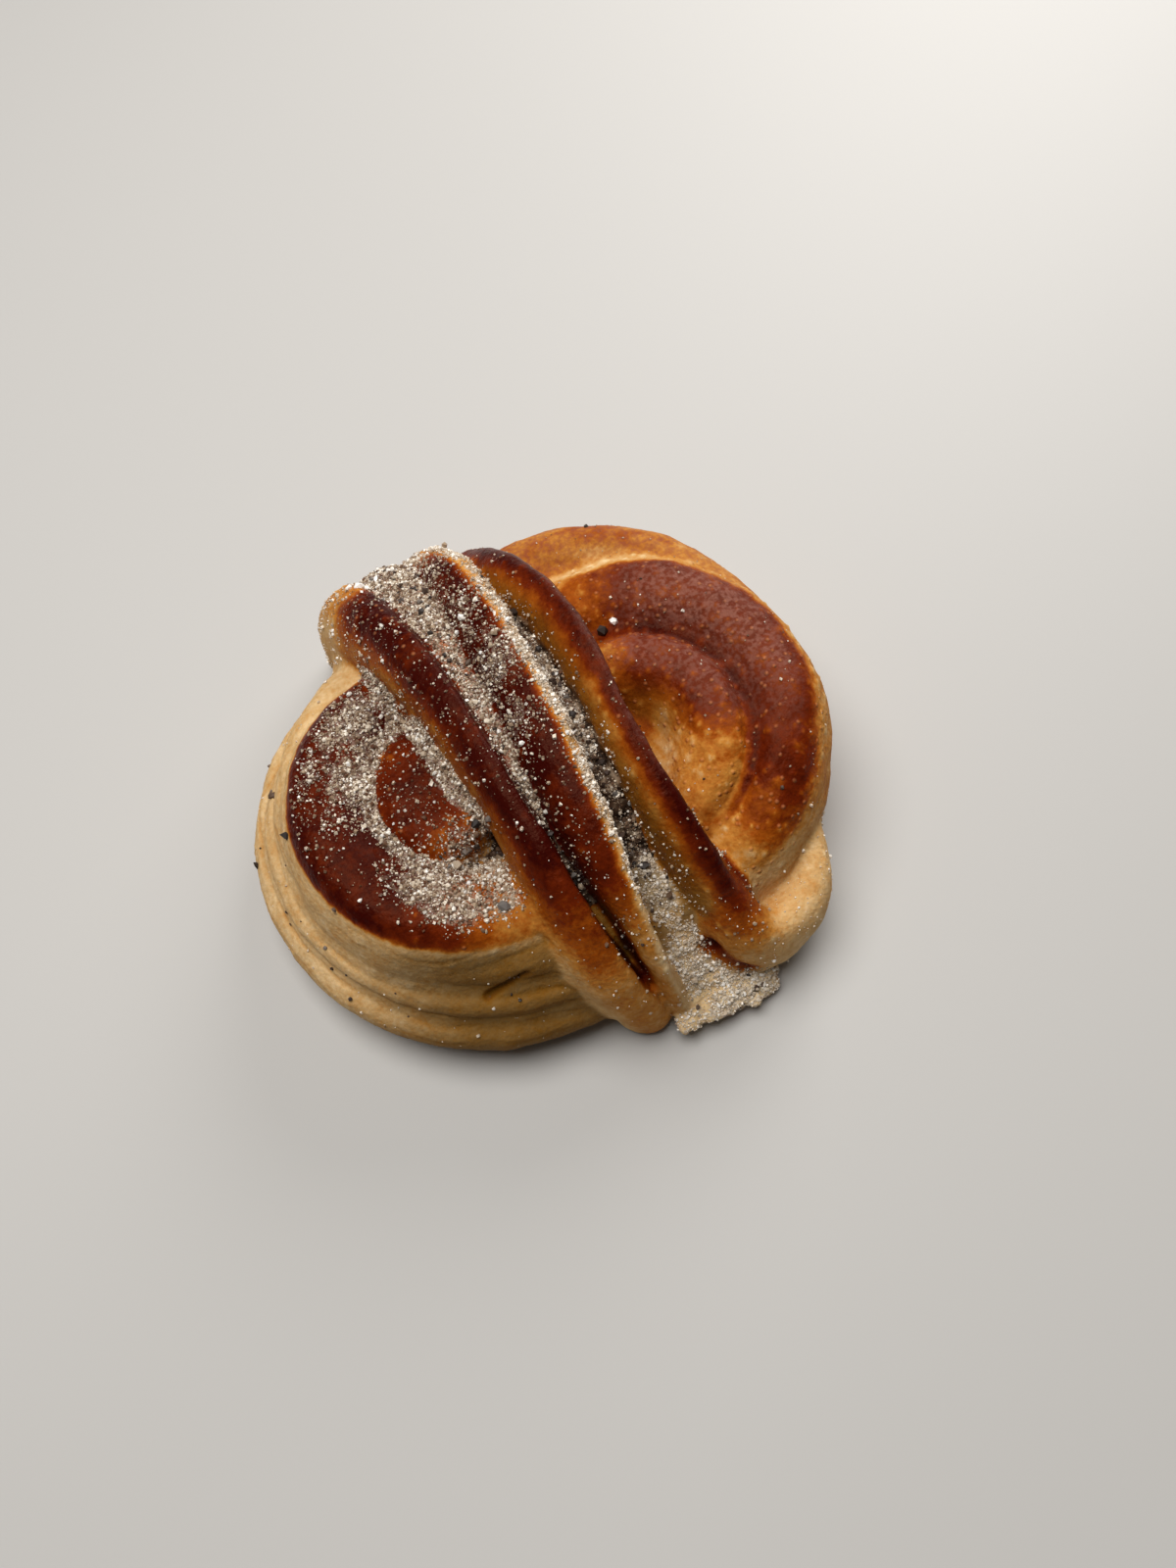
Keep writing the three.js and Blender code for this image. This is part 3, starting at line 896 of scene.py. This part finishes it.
# How far grains stand up and how rough they are, as shares of their size, how far they are
# stretched, and how many lie on steep dough
SUGAR_RISE, CARDAMOM_RISE = 0.45, 0.15
SUGAR_ROUGHNESS, CARDAMOM_ROUGHNESS = 0.22, 0.35
GRAIN_STRETCH = (0.75, 1.25)
STEEP_SHARE, STEEP_CARDAMOM = 0.04, 0.06

# The tone of the darkest grain on cream dough, and how strongly tones keep to the extremes
DARKEST_ON_CREAM, TONE_SPREAD = 0.52, 0.7

# Larger bits by themselves: place across and along, size in millimetres, and tone
LONE_BITS = [
    (-19.4, -23, 2.3, 1.0), (23.1, 13.7, 2.1, 0.1), (-44.8, 9.4, 1.9, 0.0), (34.4, 37.2, 1.5, 0.2),
    (4.5, -28.3, 2.2, 0.1), (-16.5, -8.2, 2.1, 0.0), (-14.8, -9.8, 1.6, 0.9), (-17.8, -10.6, 1.5, 0.3),
    (7.6, -2, 1.7, 0.1), (8.4, 6, 1.5, 0.4), (6.6, -12, 1.8, 0.2), (3.4, -23, 1.5, 0.6),
    (6.2, -34, 1.7, 0.8), (9.2, 13, 1.4, 0.1), (9.6, 22, 1.7, 0.2), (9, 31, 1.6, 0.1),
    (-7.4, -19, 1.4, 0.2), (-7.6, -26, 1.6, 0.0), (-7.2, -33, 1.4, 0.3), (13, -52.5, 1.6, 0.5),
]

# Larger grains of sugar, likewise, without the tone
LONE_SUGAR = [(25.6, 13.7, 1.8), (-10, 47, 2), (-8.6, 46, 1.8), (-6.4, 47, 1.6), (-11.6, 48, 1.7)]


class Surface:
    """Random places on a mesh, chosen by area and by a density at its vertices."""

    def __init__(self, mesh):
        mesh.calc_loop_triangles()
        self.corners = rows(mesh.loop_triangles, "vertices", 3, int)
        self.points, self.normals = coords(mesh), normals(mesh)
        a, b, c = (self.points[self.corners[:, i]] for i in range(3))
        self.area = np.linalg.norm(np.cross(b - a, c - a), axis=1) / 2

    def places(self, random, count, density, value):
        """Places, the way they face, and a value of the vertices there."""
        weight = self.area * np.maximum(density[self.corners].mean(1), 0)
        picked = random.choice(len(weight), count, p=weight / weight.sum())
        share = random.dirichlet((1, 1, 1), count)
        at = self.corners[picked]
        place = (self.points[at] * share[..., None]).sum(1)
        facing = unit((self.normals[at] * share[..., None]).sum(1))
        return place, facing, (value[at] * share).sum(1)


def random_turns(random, count):
    """Random rotation matrices, from random unit quaternions."""
    w, x, y, z = unit(random.normal(size=(count, 4))).T
    rows = [
        [1 - 2 * (y * y + z * z), 2 * (x * y - z * w), 2 * (x * z + y * w)],
        [2 * (x * y + z * w), 1 - 2 * (x * x + z * z), 2 * (y * z - x * w)],
        [2 * (x * z - y * w), 2 * (y * z + x * w), 1 - 2 * (x * x + y * y)],
    ]
    return np.moveaxis(np.array(rows), -1, 0)


def scatter(name, shape, places, sizes, tone, random, roughness):
    """Copies of a small shape, each turned, stretched and roughened, as one mesh."""
    points, faces = shape
    count = len(places)
    stretch = random.uniform(*GRAIN_STRETCH, (count, 1, 3)) * sizes[:, None, None]
    bits = points[None] * (1 + roughness * random.uniform(-1, 1, (count, len(points), 1)))
    bits = np.einsum("nij,nkj->nki", random_turns(random, count), bits * stretch)
    bits += places[:, None]
    bits[..., 2] = np.maximum(bits[..., 2], 0)
    starts = len(points) * np.arange(count)[:, None, None]
    corners = (faces[None] + starts).reshape(-1, faces.shape[1])
    mesh = joined_mesh(name, bits.reshape(-1, 3), corners.tolist())
    set_attribute(mesh, "tone", np.repeat(tone, len(points)))
    return new_object(name, mesh)


def crystal_shape():
    """A block of unit size with eight corners."""
    points = np.array([(x, y, z) for x in (-0.5, 0.5) for y in (-0.5, 0.5) for z in (-0.5, 0.5)])
    faces = np.array([(0, 1, 3, 2), (4, 6, 7, 5), (0, 4, 5, 1), (2, 3, 7, 6), (0, 2, 6, 4), (1, 5, 7, 3)])
    return points, faces


def dust_shape():
    """A grain with six corners, a little over unit size."""
    points = 0.6 * np.array([(1, 0, 0), (-1, 0, 0), (0, 1, 0), (0, -1, 0), (0, 0, 1), (0, 0, -1)])
    faces = np.array([(0, 2, 4), (2, 1, 4), (1, 3, 4), (3, 0, 4), (2, 0, 5), (1, 2, 5), (3, 1, 5), (0, 3, 5)])
    return points, faces


def chip_shape():
    """A chip of unit size with twelve corners."""
    bm = bmesh.new()
    bmesh.ops.create_icosphere(bm, subdivisions=1, radius=0.5)
    points = np.array([vert.co[:] for vert in bm.verts])
    faces = np.array([[vert.index for vert in face.verts] for face in bm.faces])
    bm.free()
    return points, faces


def laid(mesh, spots):
    """Places on top of the mesh at listed spots across and along."""
    points = coords(mesh)
    places = []
    for x, y in spots:
        near = points[np.hypot(points[:, 0] - x * MM, points[:, 1] - y * MM) < VOXEL]
        places.append(near[near[:, 2].argmax()])
    return np.array(places)


def sugar_tone(random, crust, darkness, brightest):
    """Grains look brighter on pale dough, because light passes through them."""
    pale = ease(crust, 0.6, 0.1)
    return blend(DARKEST_ON_CREAM * pale, brightest, random.beta(TONE_SPREAD, darkness, len(crust)))


def make_sugar(random, surface, mesh, lying):
    sugar, crust = attribute(mesh, "sugar"), attribute(mesh, "crust")
    shapes = dict(sugar_coarse=chip_shape(), sugar_fine=crystal_shape(), sugar_dust=dust_shape())
    pieces = []
    for name, kind in SUGAR_KINDS.items():
        count = kind["count"]
        place, facing, browned = surface.places(random, count, sugar ** kind["lean"] * lying, crust)
        sizes = random.lognormal(math.log(kind["size"]), kind["spread"], count) * MM
        place = place + facing * (random.uniform(0, SUGAR_RISE, count) * sizes)[:, None]
        tone = sugar_tone(random, browned, kind["darkness"], kind["brightest"])
        if name == "sugar_coarse":
            lone = np.array(LONE_SUGAR)
            place = np.concatenate([place, laid(mesh, lone[:, :2])])
            sizes = np.append(sizes, lone[:, 2] * MM)
            tone = np.append(tone, np.ones(len(lone)))
        pieces.append(scatter(name, shapes[name], place, sizes, tone, random, SUGAR_ROUGHNESS))
    return pieces


def make_cardamom(random, surface, mesh, lying):
    spice = attribute(mesh, "spice")
    place, facing, _ = surface.places(random, CARDAMOM_COUNT, spice * (STEEP_CARDAMOM + lying), spice)
    sizes = random.lognormal(math.log(CARDAMOM_SIZE), CARDAMOM_SPREAD, CARDAMOM_COUNT)
    sizes = np.clip(sizes, *CARDAMOM_RANGE) * MM
    lone = np.array(LONE_BITS)
    place = np.concatenate([place + facing * (CARDAMOM_RISE * sizes)[:, None], laid(mesh, lone[:, :2])])
    sizes = np.append(sizes, lone[:, 2] * MM)
    tone = np.append(random.uniform(0, 1, CARDAMOM_COUNT), lone[:, 3])
    return scatter("cardamom_bits", chip_shape(), place, sizes, tone, random, CARDAMOM_ROUGHNESS)


def make_grains(bun):
    random = np.random.default_rng(SEED)
    surface = Surface(bun.data)
    lying = STEEP_SHARE + np.maximum(normals(bun.data)[:, 2], 0) ** 0.5
    sugars = make_sugar(random, surface, bun.data, lying)
    return sugars, make_cardamom(random, surface, bun.data, lying)


# Materials
def linear(shade):
    """A shade as seen on a screen, 0 to 255, in linear light."""
    share = shade / 255
    return ((share + 0.055) / 1.055) ** 2.4 if share > 0.04045 else share / 12.92


def srgb(red, green, blue):
    return linear(red), linear(green), linear(blue), 1


# Colours by how brown the crust is, by the noise in the filling, and by the tone of a grain
CRUST_COLOURS = [
    (0.0, srgb(222, 192, 146)), (0.16, srgb(202, 162, 108)), (0.34, srgb(184, 122, 50)),
    (0.52, srgb(150, 73, 12)), (0.74, srgb(100, 31, 5)), (1.0, srgb(54, 8, 4)),
]
FILLING_COLOURS = [(0.36, srgb(16, 10, 8)), (0.52, srgb(66, 48, 36)), (0.68, srgb(150, 130, 108))]
SUGAR_COLOURS = [
    (0.0, (0.11, 0.042, 0.02, 1)), (0.45, (0.48, 0.36, 0.245, 1)),
    (0.75, (0.84, 0.74, 0.6, 1)), (1.0, (1.0, 0.97, 0.92, 1)),
]
CARDAMOM_COLOURS = [
    (0.0, srgb(34, 26, 22)), (0.5, srgb(66, 46, 34)),
    (0.8, srgb(96, 72, 52)), (1.0, srgb(120, 116, 112)),
]

# Colours laid over the crust, and the most that each one covers: khaki painted shade, a greyish
# painted sheen and pale blister tips. Sugar too fine to be modelled is a haze, creamier on pale dough.
PAINTED_SHADE_COLOUR, PAINTED_SHADE_SHARE = srgb(104, 72, 20), 0.78
PAINTED_SHEEN_COLOUR, PAINTED_SHEEN_SHARE = srgb(138, 88, 74), 0.75
BLISTER_COLOUR, BLISTER_SHARE = srgb(206, 132, 84), 0.4
SUGAR_HAZE, CREAM_HAZE, HAZE_SHARE = srgb(172, 156, 141), srgb(226, 206, 170), 0.8

# Textures of the dough: their scale in a metre and detail, and for some the span of the noise that
# counts and what it becomes
MOTTLE = dict(scale=260, detail=6, span=(0.25, 0.75), becomes=(-0.08, 0.08))
SPECKLE = dict(scale=1100, detail=3, span=(0.3, 0.7), becomes=(-0.06, 0.06))
SHEEN_GRAIN = dict(scale=1100, detail=4, span=(0.42, 0.6), becomes=(0.2, 1))
DUST_GRAIN = dict(scale=1500, detail=2, span=(0.4, 0.65), becomes=(0.5, 1))
PASTE = dict(scale=420, detail=6)
FINE_BUMPS = dict(scale=1300, detail=6)
BLISTERS_IN_A_METRE = 520
BUMP_STRENGTH, BUMP_HEIGHT = 0.8, 0.3 * MM

# What is the same all over each material
DOUGH_FINISH = {
    "Specular IOR Level": 0.08,
    "Specular Tint": (1.0, 0.5, 0.3, 1),
    "Subsurface Weight": 0.08,
    "Subsurface Radius": (1.0, 0.5, 0.25),
    "Subsurface Scale": 1.5 * MM,
}
SUGAR_FINISH = {"Roughness": 0.2, "Transmission Weight": 0.1, "IOR": 1.55}
CARDAMOM_FINISH = {"Roughness": 0.6}
FLOOR_FINISH = {"Base Color": (0.48, 0.47, 0.455, 1), "Roughness": 0.6}


class Shading:
    """A material and the nodes that lead to its shader."""

    def __init__(self, name):
        self.material = bpy.data.materials.new(name)
        self.material.use_nodes = True
        self.tree = self.material.node_tree
        self.shader = self.tree.nodes["Principled BSDF"]

    def node(self, kind, **settings):
        made = self.tree.nodes.new(kind)
        for key, value in settings.items():
            setattr(made, key, value)
        return made

    def feed(self, socket, value):
        """Links another node's output to a socket, or sets a number or colour on it."""
        if isinstance(value, bpy.types.NodeSocket):
            self.tree.links.new(value, socket)
        else:
            socket.default_value = value

    def finish(self, inputs):
        for name, value in inputs.items():
            self.feed(self.shader.inputs[name], value)
        return self.material

    def attribute(self, name):
        return self.node("ShaderNodeAttribute", attribute_name=name).outputs["Fac"]

    def place(self):
        return self.node("ShaderNodeTexCoord").outputs["Object"]

    def noise(self, scale, detail):
        made = self.node("ShaderNodeTexNoise")
        self.feed(made.inputs["Scale"], scale)
        self.feed(made.inputs["Detail"], detail)
        self.feed(made.inputs["Vector"], self.place())
        return made.outputs["Fac"]

    def texture(self, scale, detail, span, becomes):
        return self.spread(self.noise(scale, detail), span, becomes)

    def spread(self, value, span, becomes):
        """A value carried over from one span to another and kept inside it."""
        made = self.node("ShaderNodeMapRange")
        for name, setting in zip(("From Min", "From Max", "To Min", "To Max"), (*span, *becomes)):
            self.feed(made.inputs[name], setting)
        self.feed(made.inputs["Value"], value)
        return made.outputs["Result"]

    def math(self, operation, first, second):
        made = self.node("ShaderNodeMath", operation=operation)
        self.feed(made.inputs[0], first)
        self.feed(made.inputs[1], second)
        return made.outputs[0]

    def mix(self, share, first, second):
        made = self.node("ShaderNodeMix", data_type="RGBA")
        self.feed(made.inputs["Factor"], share)
        colours = [socket for socket in made.inputs if socket.type == "RGBA"]
        for socket, value in zip(colours, (first, second)):
            self.feed(socket, value)
        return next(socket for socket in made.outputs if socket.type == "RGBA")

    def ramp(self, value, colours):
        made = self.node("ShaderNodeValToRGB")
        stops = made.color_ramp.elements
        while len(stops) < len(colours):
            stops.new(0.5)
        for stop, (place, colour) in zip(stops, colours):
            stop.position = place
            stop.color = colour
        self.feed(made.inputs["Fac"], value)
        return made.outputs["Color"]


def blister_dots(dough, density):
    """Tiny round blisters, 1 at their middle, more of them where the density is high."""
    cells = dough.node("ShaderNodeTexVoronoi")
    dough.feed(cells.inputs["Scale"], BLISTERS_IN_A_METRE)
    dough.feed(cells.inputs["Vector"], dough.place())
    chosen = dough.spread(dough.math("SUBTRACT", density, cells.outputs["Color"]), (0, 0.06), (0, 1))
    round_dots = dough.spread(cells.outputs["Distance"], (0.08, 0.26), (1, 0))
    return dough.math("MULTIPLY", round_dots, chosen)


def crust_colour(dough, baked, mottle, dots):
    """The crust with its khaki painted shade, its greyish painted sheen and the tips of its blisters."""
    khaki, matte = dough.attribute("khaki"), dough.attribute("matte")
    sheen = dough.spread(dough.math("ADD", matte, mottle), (0.2, 1.1), (0, PAINTED_SHEEN_SHARE))
    sheen = dough.math("MULTIPLY", sheen, dough.texture(**SHEEN_GRAIN))
    colour = dough.ramp(baked, CRUST_COLOURS)
    # Khaki painted shade on the front wall, in the right lobe's hollow and on the right fold's flank
    colour = dough.mix(dough.spread(khaki, (0, 1), (0, PAINTED_SHADE_SHARE)), colour, PAINTED_SHADE_COLOUR)
    colour = dough.mix(sheen, colour, PAINTED_SHEEN_COLOUR)
    return dough.mix(dough.spread(dots, (0, 1), (0, BLISTER_SHARE)), colour, BLISTER_COLOUR)


def with_filling(dough, colour, mottle):
    bare = dough.spread(dough.math("ADD", dough.attribute("filling"), mottle), (0.4, 0.6), (0, 1))
    return dough.mix(bare, colour, dough.ramp(dough.noise(**PASTE), FILLING_COLOURS))


def with_haze(dough, colour, crust):
    dust = dough.math("MULTIPLY", dough.texture(**DUST_GRAIN), dough.attribute("sugar"))
    haze = dough.mix(dough.spread(crust, (0.05, 0.28), (0, 1)), CREAM_HAZE, SUGAR_HAZE)
    return dough.mix(dough.spread(dust, (0.25, 0.85), (0, HAZE_SHARE)), colour, haze)


def dough_material():
    dough = Shading("dough")
    crust = dough.attribute("crust")
    mottle = dough.texture(**MOTTLE)
    baked = dough.math("ADD", dough.math("ADD", crust, mottle), dough.texture(**SPECKLE))
    dots = blister_dots(dough, dough.attribute("blistered"))
    colour = crust_colour(dough, baked, mottle, dots)
    colour = with_filling(dough, colour, mottle)
    colour = with_haze(dough, colour, crust)
    bump = dough.node("ShaderNodeBump")
    dough.feed(bump.inputs["Strength"], BUMP_STRENGTH)
    dough.feed(bump.inputs["Distance"], BUMP_HEIGHT)
    dough.feed(bump.inputs["Height"], dough.math("ADD", dough.noise(**FINE_BUMPS), dots))
    varied = {
        "Base Color": colour,
        "Roughness": dough.spread(baked, (0.1, 0.9), (0.75, 0.3)),
        "Normal": bump.outputs["Normal"],
    }
    return dough.finish(varied | DOUGH_FINISH)


def grain_material(name, colours, finish):
    grain = Shading(name)
    colour = grain.ramp(grain.attribute("tone"), colours)
    return grain.finish({"Base Color": colour} | finish)


# The camera, in the bun's frame, as the photo was taken
CAMERA_PLACE = (-36.4 * MM, -87.4 * MM, 216.2 * MM)
CAMERA_BEARING = math.radians(28)
CAMERA_RIGHT = (0.9957, -0.0838, -0.039)
CAMERA_DOWN = (-0.0925, -0.9027, -0.4203)
CAMERA_AHEAD = (0.0, 0.4221, -0.9066)
LONG_SIDE_PX, FOCAL_PX, SENSOR_MM = 1600, 1202, 36
CLIP_START = 10 * MM

# The studio, in metres
FLOOR_REACH = 3
LIGHT_COLOUR = (1.0, 0.98, 0.95)
LIGHTS = {
    "top softbox": dict(place=(-0.1, 0.16, 0.8), size=0.6, power=7.0),
    "right softbox": dict(place=(0.45, 0.3, 0.34), size=0.4, power=2.6),
}
WORLD_COLOUR, WORLD_STRENGTH = (1.0, 0.95, 0.88, 1), 0.065


def make_camera():
    data = bpy.data.cameras.new("camera")
    data.sensor_width = SENSOR_MM
    data.lens = SENSOR_MM * FOCAL_PX / LONG_SIDE_PX
    data.clip_start = CLIP_START
    camera = new_object("camera", data)
    turn = Matrix.Rotation(-CAMERA_BEARING, 3, "Z")
    right, down, ahead = (turn @ Vector(way) for way in (CAMERA_RIGHT, CAMERA_DOWN, CAMERA_AHEAD))
    facing = Matrix((right, -down, -ahead)).transposed().to_4x4()
    camera.matrix_world = Matrix.Translation(CAMERA_PLACE) @ facing
    bpy.context.scene.camera = camera


def make_floor():
    corners = FLOOR_REACH * np.array([(-1, -1, 0), (1, -1, 0), (1, 1, 0), (-1, 1, 0)])
    floor = new_object("floor", joined_mesh("floor", corners, [(0, 1, 2, 3)]))
    floor.data.materials.append(Shading("pale floor").finish(FLOOR_FINISH))


def area_light(name, place, size, power):
    data = bpy.data.lights.new(name, "AREA")
    data.shape = "DISK"
    data.size = size
    data.energy = power
    data.color = LIGHT_COLOUR
    light = new_object(name, data)
    light.location = place
    light.rotation_euler = (-Vector(place)).to_track_quat("-Z", "Y").to_euler()


def make_lights():
    for name, settings in LIGHTS.items():
        area_light(name, **settings)
    world = bpy.data.worlds.new("studio")
    world.use_nodes = True
    background = world.node_tree.nodes["Background"]
    background.inputs["Color"].default_value = WORLD_COLOUR
    background.inputs["Strength"].default_value = WORLD_STRENGTH
    bpy.context.scene.world = world
    bpy.context.scene.view_settings.view_transform = "Standard"


make_camera()
make_floor()
make_lights()

bun = make_bun()
bun.data.materials.append(dough_material())
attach(bun, "root")
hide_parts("bun")
sugars, bits = make_grains(bun)
sugar_look = grain_material("sugar", SUGAR_COLOURS, SUGAR_FINISH)
cardamom_look = grain_material("cardamom", CARDAMOM_COLOURS, CARDAMOM_FINISH)
looks = [(piece, sugar_look, "sugar") for piece in sugars] + [(bits, cardamom_look, "cardamom")]
for piece, look, slot in looks:
    piece.data.materials.append(look)
    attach(piece, "root")
